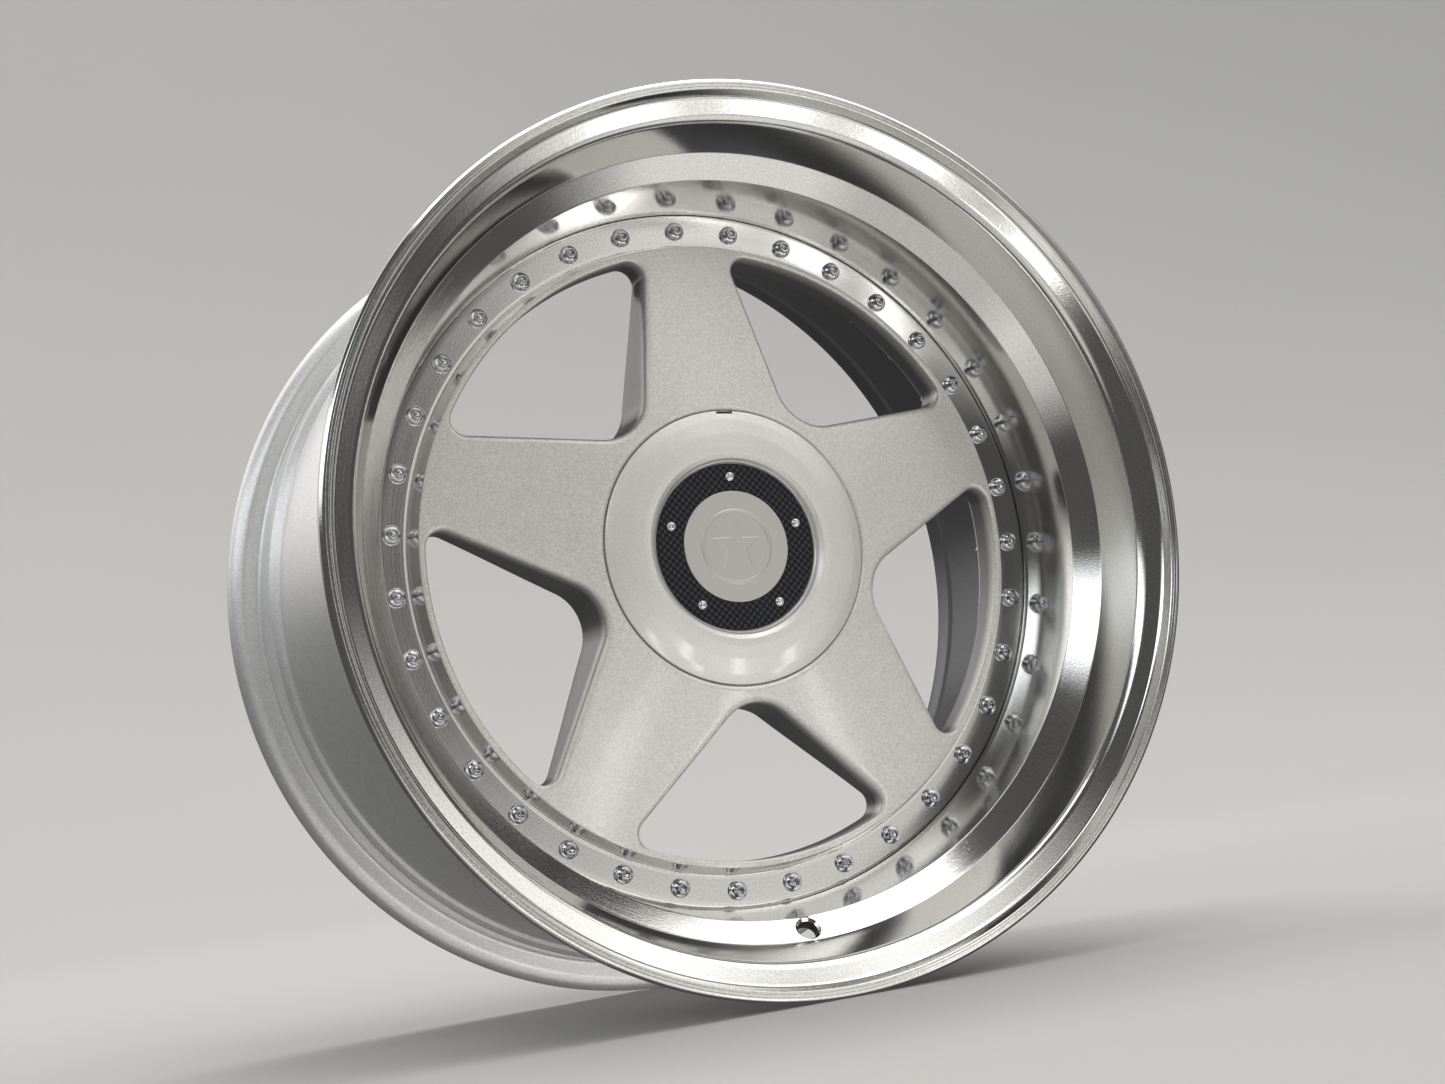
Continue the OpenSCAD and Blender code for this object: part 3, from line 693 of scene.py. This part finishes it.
# -------- shader groups
def group(name, inputs, outputs):
    """An empty node group. Inputs are {name: value}, where a tuple makes a colour and a number a
    float, and outputs are {name: kind}. Returns the tree with its given and made sockets.
    """
    tree = bpy.data.node_groups.new(name, "ShaderNodeTree")
    for label, value in inputs.items():
        kind = "NodeSocketColor" if isinstance(value, tuple) else "NodeSocketFloat"
        tree.interface.new_socket(label, in_out="INPUT", socket_type=kind).default_value = value
    for label, kind in outputs.items():
        tree.interface.new_socket(label, in_out="OUTPUT", socket_type="NodeSocket" + kind)
    return tree, tree.nodes.new("NodeGroupInput").outputs, tree.nodes.new("NodeGroupOutput").inputs


class Nodes:
    """Short ways to add nodes to one tree. An input may be a number, a tuple or a socket."""

    def __init__(self, tree):
        self.tree = tree

    def add(self, kind, inputs=None, **settings):
        node = self.tree.nodes.new("ShaderNode" + kind)
        for key, value in settings.items():
            setattr(node, key, value)
        for key, value in (inputs or {}).items():
            if isinstance(value, bpy.types.NodeSocket):
                self.tree.links.new(value, node.inputs[key])
            else:
                node.inputs[key].default_value = value
        return node

    def math(self, operation, a, b=0.0, c=0.0):
        return self.add("Math", {0: a, 1: b, 2: c}, operation=operation).outputs[0]

    def noise(self, vector, scale, detail=2.0, roughness=0.5, kind="Fac"):
        return self.add("TexNoise", {"Vector": vector, "Scale": scale, "Detail": detail,
                                     "Roughness": roughness}).outputs[kind]

    def spread(self, value, low, high, to_low=0.0, to_high=1.0):
        """Maps low..high onto to_low..to_high and holds it there beyond them."""
        return self.add("MapRange", {"Value": value, "From Min": low, "From Max": high,
                                     "To Min": to_low, "To Max": to_high}).outputs[0]

    def blend(self, share, a, b, kind="MIX"):
        node = self.add("Mix", data_type="RGBA", blend_type=kind)
        for index, value in ((0, share), (6, a), (7, b)):
            if isinstance(value, bpy.types.NodeSocket):
                self.tree.links.new(value, node.inputs[index])
            else:
                node.inputs[index].default_value = value
        return node.outputs[2]

    def place(self):
        """Object coordinates."""
        return self.add("TexCoord").outputs["Object"]

    def around_axis(self):
        """X, Y and Z of a point, and its distance from the wheel's axis."""
        at = self.add("SeparateXYZ", {"Vector": self.place()}).outputs
        squares = [self.math("MULTIPLY", at[key], at[key]) for key in ("X", "Z")]
        return at, self.math("SQRT", self.math("ADD", *squares))

    def bump(self, height, strength, distance, normal=None):
        inputs = {"Height": height, "Strength": strength, "Distance": distance}
        if normal is not None:
            inputs["Normal"] = normal
        return self.add("Bump", inputs).outputs["Normal"]

    def join(self, made, **values):
        """Places a node group with its own values and returns its outputs."""
        node = self.tree.nodes.new("ShaderNodeGroup")
        node.node_tree = made
        for key, value in values.items():
            key = key.replace("_", " ")
            if isinstance(value, bpy.types.NodeSocket):
                self.tree.links.new(value, node.inputs[key])
            else:
                node.inputs[key].default_value = value
        return node.outputs


def turned_lines_group():
    """Lathe marks: noise over (radius, height) squeezed round the axis, so it forms rings.

    Lines is fine noise across the rings, Bands is broad light and dark rings, and Speckle is
    grain of equal size both ways, as on a surface that shone through a light blasting.
    """
    tree, given, made = group("Turned Lines", {"Pitch": 0.0004},
                              {"Lines": "Float", "Bands": "Float", "Speckle": "Float"})
    n = Nodes(tree)
    at, radius = n.around_axis()
    turn = n.math("ARCTAN2", at["Z"], at["X"])
    scale = n.math("DIVIDE", 1.0, given["Pitch"])
    ringed = n.add("CombineXYZ", {"X": n.math("MULTIPLY", radius, scale),
                                  "Y": n.math("MULTIPLY", at["Y"], scale),
                                  "Z": n.math("MULTIPLY", n.math("SINE", turn), 1.3)}).outputs[0]
    tree.links.new(n.noise(ringed, 1.0, 3.0, 0.7), made["Lines"])
    tree.links.new(n.noise(ringed, 0.06, 2.0, 0.6), made["Bands"])
    tree.links.new(n.noise(n.place(), 900.0, 2.0, 0.6), made["Speckle"])
    return tree


def flake_group():
    """Metallic paint: small cells of random tilt and brightness over a soft cloud."""
    tree, given, made = group("Metal Flake", {"Size": 0.0006, "Dark": (0.4, 0.4, 0.4, 1.0),
                                              "Light": (0.7, 0.7, 0.7, 1.0)},
                              {"Color": "Color", "Normal": "Vector"})
    n = Nodes(tree)
    scale = n.math("DIVIDE", 1.0, given["Size"])
    cell = n.add("TexVoronoi", {"Vector": n.place(), "Scale": scale, "Randomness": 1.0})
    shade = n.add("SeparateColor", {"Color": cell.outputs["Color"]}).outputs
    cloud = n.noise(n.place(), 60.0, 3.0)
    share = n.math("ADD", n.math("MULTIPLY", shade[0], 0.75), n.math("MULTIPLY", cloud, 0.25))
    tree.links.new(n.blend(share, given["Dark"], given["Light"]), made["Color"])
    tree.links.new(n.bump(shade[1], 0.22, 0.0002), made["Normal"])
    return tree


def handling_group():
    """Faint dust and finger marks: broad clouds that lift the roughness a little."""
    tree, given, made = group("Handling Marks", {"Amount": 0.1, "Base": 0.2},
                              {"Roughness": "Float"})
    n = Nodes(tree)
    broad = n.spread(n.noise(n.place(), 14.0, 4.0, 0.6), 0.45, 0.7)
    fine = n.spread(n.noise(n.place(), 260.0, 3.0, 0.7), 0.5, 0.8)
    marks = n.math("MULTIPLY", broad, n.math("ADD", 0.5, n.math("MULTIPLY", fine, 0.5)))
    tree.links.new(n.math("MULTIPLY_ADD", marks, given["Amount"], given["Base"]),
                   made["Roughness"])
    return tree


turned_lines = turned_lines_group()
metal_flake = flake_group()
handling = handling_group()


# -------- materials
def material(name, **constants):
    """A new material with its Principled shader's constants set, and the tools to add nodes."""
    made = bpy.data.materials.new(name)
    made.use_nodes = True
    shader = made.node_tree.nodes["Principled BSDF"]
    for key, value in constants.items():
        shader.inputs[key.replace("_", " ")].default_value = value
    return made, Nodes(made.node_tree), shader.inputs


def feed(nodes, shader, **links):
    """Links sockets to the shader's inputs."""
    for key, socket in links.items():
        nodes.tree.links.new(socket, shader[key.replace("_", " ")])


def mirror_aluminium(name="Mirror Turned Aluminium", pitch=0.00045, rough=0.09):
    """Bare turned aluminium: fine rings in the bump and the roughness, under a faint speckle."""
    made, n, shader = material(name, Metallic=1.0)
    marks = n.join(turned_lines, Pitch=pitch)
    wear = n.join(handling, Amount=0.05, Base=rough)
    tint = n.blend(n.spread(marks["Speckle"], 0.35, 0.7), (0.70, 0.695, 0.68, 1),
                   (0.82, 0.82, 0.81, 1))
    rough_lines = n.math("MULTIPLY_ADD", marks["Bands"], 0.09, wear["Roughness"])
    grain = n.bump(marks["Speckle"], 0.05, 0.0004)
    rings = n.bump(marks["Lines"], 0.12, 0.00012, grain)
    feed(n, shader, Base_Color=tint, Roughness=n.math("SUBTRACT", rough_lines, 0.04),
         Normal=rings)
    return made


def below_face(n):
    """How far a point lies behind the star's conical front face."""
    at, radius = n.around_axis()
    fall = (face_hub_h - face_edge_h) / (face_edge_r - face_hub_r)
    apex = (face_hub_h + fall * face_hub_r) * MM
    return n.math("ADD", at["Y"], n.math("SUBTRACT", apex, n.math("MULTIPLY", radius, fall)))


def flake_paint(name, dark, light, size, coat, peel, rough=0.36, painted_shade_behind=False):
    """Metallic paint: flake under a clear coat with a little orange peel.

    Its last flag darkens everything behind the star's front face with depth, the windows'
    flanks above all: a painted shade for the shadow deep in the windows.
    """
    made, n, shader = material(name, Metallic=0.65, Coat_Weight=coat, Coat_Roughness=0.05,
                               Coat_IOR=1.6, Specular_IOR_Level=0.4)
    flake = n.join(metal_flake, Size=size, Dark=(*dark, 1.0), Light=(*light, 1.0))
    wear = n.join(handling, Amount=0.08, Base=rough)
    wave = n.noise(n.place(), 420.0, 2.0)
    colour = flake["Color"]
    if painted_shade_behind:
        # painted shade: the deeper a point lies behind the face, the more its colour falls to a
        # dark blue-grey
        share = n.spread(below_face(n), 0.003, 0.011, 0.0, 0.8)
        colour = n.blend(share, colour, (0.065, 0.068, 0.078, 1))
    feed(n, shader, Base_Color=colour, Roughness=wear["Roughness"],
         Normal=flake["Normal"], Coat_Normal=n.bump(wave, peel, 0.0005))
    return made


def plated(name, colour, rough, mottle=0.06):
    """Plated or drawn steel: even colour with a faint mottle and fine turned lines."""
    made, n, shader = material(name, Metallic=1.0)
    wear = n.join(handling, Amount=mottle, Base=rough)
    marks = n.join(turned_lines, Pitch=0.0003)
    low = tuple(c * 0.86 for c in colour)
    tint = n.blend(n.noise(n.place(), 300.0, 3.0), (*low, 1.0), (*colour, 1.0))
    feed(n, shader, Base_Color=tint, Roughness=wear["Roughness"],
         Normal=n.bump(marks["Speckle"], 0.08, 0.0002))
    return made


def moulded(name, colour, rough, grain_scale, grain):
    """Moulded plastic, rubber or foam: a fine grain and slightly uneven colour."""
    made, n, shader = material(name, Specular_IOR_Level=0.35)
    wear = n.join(handling, Amount=0.15, Base=rough)
    grit = n.noise(n.place(), grain_scale, 3.0, 0.6)
    low = tuple(c * 0.75 for c in colour)
    tint = n.blend(grit, (*low, 1.0), (*colour, 1.0))
    feed(n, shader, Base_Color=tint, Roughness=wear["Roughness"],
         Normal=n.bump(grit, grain, 0.0003))
    return made


def carbon_weave():
    """Plain weave: a checker of crossing tows, each bowed by the lesser of two half sines, one
    across it and one along it, so it falls to a dark gap on all four sides. The colour holds
    painted light: every other tow is lighter, a painted sheen, and each tow darkens towards its
    gap, a painted shade of its bow."""
    made, n, shader = material("Carbon Weave", Coat_Weight=0.12, Coat_Roughness=0.15,
                               Specular_IOR_Level=0.2)
    tow = 0.0021
    at = n.add("SeparateXYZ", {"Vector": n.place()}).outputs
    x = n.math("DIVIDE", at["X"], tow)
    z = n.math("DIVIDE", at["Z"], tow)
    odd = n.math("MODULO", n.math("ADD", n.math("ADD", n.math("FLOOR", x), n.math("FLOOR", z)),
                                  1000.0), 2.0)
    across = n.math("ABSOLUTE", n.math("SINE", n.math("MULTIPLY", x, math.pi)))
    along = n.math("ABSOLUTE", n.math("SINE", n.math("MULTIPLY", z, math.pi)))
    hump = n.math("MINIMUM", across, along)
    # painted sheen: every other tow is lighter though all are one fibre; below, each tow darkens
    # towards its edges, a painted shade of its bow
    painted_sheen_checker = n.blend(odd, (0.003, 0.003, 0.005, 1), (0.042, 0.045, 0.058, 1))
    shade = n.blend(n.spread(hump, 0.05, 0.3), (0.001, 0.001, 0.002, 1), painted_sheen_checker)
    fibre = n.noise(n.place(), 2600.0, 1.0)
    rough = n.math("ADD", 0.32, n.math("MULTIPLY", odd, 0.12))
    height = n.math("ADD", hump, n.math("MULTIPLY", fibre, 0.1))
    feed(n, shader, Base_Color=shade, Roughness=rough, Normal=n.bump(height, 0.5, 0.0004))
    return made


def satin_badge():
    """Satin anodised aluminium with a fine blasted grain."""
    made, n, shader = material("Satin Badge", Metallic=0.8)
    grain = n.noise(n.place(), 2200.0, 2.0)
    tint = n.blend(grain, (0.56, 0.56, 0.53, 1), (0.70, 0.695, 0.66, 1))
    wear = n.join(handling, Amount=0.06, Base=0.4)
    feed(n, shader, Base_Color=tint, Roughness=wear["Roughness"],
         Normal=n.bump(grain, 0.08, 0.0001))
    return made


aluminium = mirror_aluminium()
band_aluminium = mirror_aluminium("Turned Bolt Band", 0.0006, 0.12)
star_paint = flake_paint("Star Silver Paint", (0.64, 0.63, 0.60), (0.90, 0.89, 0.85),
                         0.0007, 0.7, 0.10, 0.5, painted_shade_behind=True)
cover_paint = flake_paint("Cap Silver Paint", (0.76, 0.75, 0.72), (0.90, 0.89, 0.86),
                          0.0005, 1.0, 0.03, 0.46)
barrel_paint = flake_paint("Barrel Silver Paint", (0.68, 0.68, 0.68), (0.92, 0.92, 0.915),
                           0.0006, 0.6, 0.12)
# painted shade: a near-black copy of the barrel's silver for the shadowed brake side inside the
# barrel
barrel_inside_shade = flake_paint("Barrel Inside Painted Shade", (0.07, 0.073, 0.085), (0.15, 0.155, 0.18),
                          0.0006, 0.8, 0.12)
chrome = plated("Bright Chrome", (0.58, 0.59, 0.61), 0.03, 0.03)
bright_steel = plated("Bright Screw Steel", (0.86, 0.86, 0.85), 0.14, 0.08)
zinc = plated("Zinc Plate", (0.66, 0.67, 0.69), 0.3, 0.15)
spring_steel = plated("Spring Steel", (0.55, 0.55, 0.56), 0.28, 0.1)
brass = plated("Turned Brass", (0.80, 0.60, 0.28), 0.25, 0.1)
# painted shade: the valve hole's drilled bore is coloured dark for the shadow inside the hole
drilled_bore_shade = plated("Drilled Bore Painted Shade", (0.22, 0.21, 0.20), 0.4, 0.2)
nylon = moulded("Black Nylon", (0.035, 0.035, 0.038), 0.5, 700.0, 0.25)
rubber = moulded("Seal Rubber", (0.02, 0.02, 0.02), 0.6, 1200.0, 0.2)
sealant = moulded("Cured Sealant", (0.028, 0.028, 0.028), 0.35, 90.0, 0.4)
foam = moulded("Pad Foam", (0.03, 0.03, 0.03), 0.85, 2600.0, 0.6)
weave = carbon_weave()
badge_satin = satin_badge()

for obj, coats in ((lip, [aluminium, drilled_bore_shade]), (barrel, [barrel_paint, barrel_inside_shade]),
                   (centre, [star_paint, band_aluminium]), (bolts, [chrome]),
                   (cover, [cover_paint]), (trim_ring, [weave]), (badge, [badge_satin]),
                   (trim_screws, [bright_steel])):
    for coat in coats:
        obj.data.materials.append(coat)

for node, coat in (("rim_sealant", sealant), ("lug_seat_inserts", zinc),
                   ("centring_ring", nylon), ("centring_ring_clip", spring_steel),
                   ("bolt_washers", zinc), ("bolt_nuts", zinc), ("cap_seal", rubber),
                   ("cap_retainer", nylon), ("cap_spring_ring", spring_steel),
                   ("badge_pad", foam), ("screw_inserts", brass)):
    for entry in frame["nodes"][node].material_slots:
        entry.material = coat


# -------- floor, camera and light
def stage_material(name, colour):
    """Matt paper, very slightly clouded."""
    made, n, shader = material(name, Roughness=0.85, Specular_IOR_Level=0.2)
    cloud = n.noise(n.place(), 1.5, 2.0)
    low = tuple(c * 0.97 for c in colour)
    feed(n, shader, Base_Color=n.blend(cloud, (*low, 1.0), (*colour, 1.0)))
    return made


def make_sweep():
    """A round floor that curves up into a wall: radius and height along one profile.

    It is only a backdrop: the wheel is lit by, and mirrors, the soft boxes alone.
    """
    reach, bend, wall = 2.6, 2.4, 3.0
    a = np.linspace(0, math.pi / 2, 16)
    r = np.concatenate([[0, 1], reach + bend * np.sin(a), [reach + bend]])
    z = np.concatenate([[0, 0], bend - bend * np.cos(a), [bend + wall]])
    turn = np.arange(96) * 2 * math.pi / 96
    x, y = r[:, None] * np.cos(turn), r[:, None] * np.sin(turn)
    grid = np.stack([x, y, z[:, None] + 0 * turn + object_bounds()[0][2]], -1)
    mesh = bpy.data.meshes.new("studio_floor")
    mesh.from_pydata(grid.reshape(-1, 3).tolist(), [],
                     quads(len(r), len(turn), False, True).tolist())
    mesh.shade_smooth()
    sweep = bpy.data.objects.new("studio_floor", mesh)
    bpy.context.scene.collection.objects.link(sweep)
    mesh.materials.append(stage_material("Pale Paper", (0.50, 0.495, 0.485)))
    sweep.visible_glossy = sweep.visible_diffuse = sweep.visible_shadow = False


def soft_box(name, at, aim, width, height, power):
    """A rectangular area light that is hidden from the camera but shows in reflections."""
    light = bpy.data.lights.new(name, "AREA")
    light.shape = "RECTANGLE"
    light.size, light.size_y = width, height
    light.energy = power
    lamp = bpy.data.objects.new(name, light)
    bpy.context.scene.collection.objects.link(lamp)
    lamp.location = at
    lamp.rotation_euler = (Vector(aim) - Vector(at)).to_track_quat("-Z", "Y").to_euler()
    lamp.visible_camera = False


def make_camera():
    """The camera stands low in front, to the wheel's right as it faces out, and is rolled."""
    look = bpy.data.cameras.new("view")
    look.lens, look.sensor_width = 53.31, 36
    look.clip_end = 60
    camera = bpy.data.objects.new("view", look)
    bpy.context.scene.collection.objects.link(camera)
    at, aim = Vector((-0.4814, -1.1331, -0.1414)), Vector((0.0033, -0.020, 0.0065))
    forward = (aim - at).normalized()
    up = Vector((0.0791, -0.1650, 0.9831))
    right = forward.cross(up).normalized()
    up = right.cross(forward)
    camera.matrix_world = Matrix((right, up, -forward)).transposed().to_4x4()
    camera.location = at
    bpy.context.scene.camera = camera


def make_world():
    """The light round the wheel: a dim room with large soft boxes, each an upright rectangle of
    directions with soft edges.

    A box is (compass from, compass to, lowest, highest, softness, strength, colour), in degrees.
    Compass 0 is straight in front of the wheel's face and grows towards +X. The row of narrow
    strips is what draws the crisp streaks on the lacquered cap.
    """
    world = bpy.data.worlds.new("studio")
    bpy.context.scene.world = world
    world.use_nodes = True
    n = Nodes(world.node_tree)
    at = n.add("SeparateXYZ", {"Vector": n.place()}).outputs
    compass = n.math("DEGREES", n.math("ARCTAN2", at["X"], n.math("MULTIPLY", at["Y"], -1.0)))
    height = n.math("DEGREES", n.math("ARCSINE", at["Z"]))
    warm, cool = (1.0, 0.98, 0.945), (0.94, 0.975, 1.0)
    boxes = [(5, 150, 34, 80, 8, 1.75, warm),  # high, from the front to the right
             (-100, -14, 18, 33, 4, 2.3, cool),  # long and narrow, on the left
             (-175, -110, 12, 70, 8, 1.15, warm),  # on the barrel, from behind on the left
             (19, 30, 0, 34, 4, 0.85, warm),  # upright, mirrored by the bolt band
             (38, 58, 14, 34, 5, 1.15, warm),  # right of it, two for the lip's wall
             (41, 51, -3, 8, 3, 0.7, warm),
             (2, 42, -26, -2, 4, 0.85, warm),  # low in front, for the lower spokes
             (-50, 0, -30, -12, 5, 0.6, warm),
             (0, 62, -68, -28, 8, 0.78, warm),  # the floor's glow, right and left
             (-62, 0, -68, -28, 8, 0.5, warm)]
    boxes += [(left, left + 2.5, -24, -10, 1, 4.4, warm) for left in (-4, 8, 20, 32)]
    sum_of_light = (0.085, 0.084, 0.082, 1.0)
    for left, right, low, high, soft, strength, colour in boxes:
        inside = n.math("MULTIPLY",
                        n.math("MULTIPLY", n.spread(compass, left - soft, left + soft),
                               n.spread(compass, right + soft, right - soft)),
                        n.math("MULTIPLY", n.spread(height, low - soft, low + soft),
                               n.spread(height, high + soft, high - soft)))
        glow = tuple(strength * c for c in colour) + (1.0,)
        sum_of_light = n.blend(1.0, sum_of_light, n.blend(inside, (0, 0, 0, 1), glow), "ADD")
    background = world.node_tree.nodes["Background"].inputs
    world.node_tree.links.new(sum_of_light, background["Color"])


bpy.context.scene.view_settings.view_transform = "Standard"
make_sweep()
make_camera()
make_world()
soft_box("ceiling", (0, 0, 3.6), (0, 0, 0), 3.4, 3.4, 60)
soft_box("backdrop", (0, 1.2, 3.2), (0.6, 4.5, 0.5), 3.0, 1.0, 40)
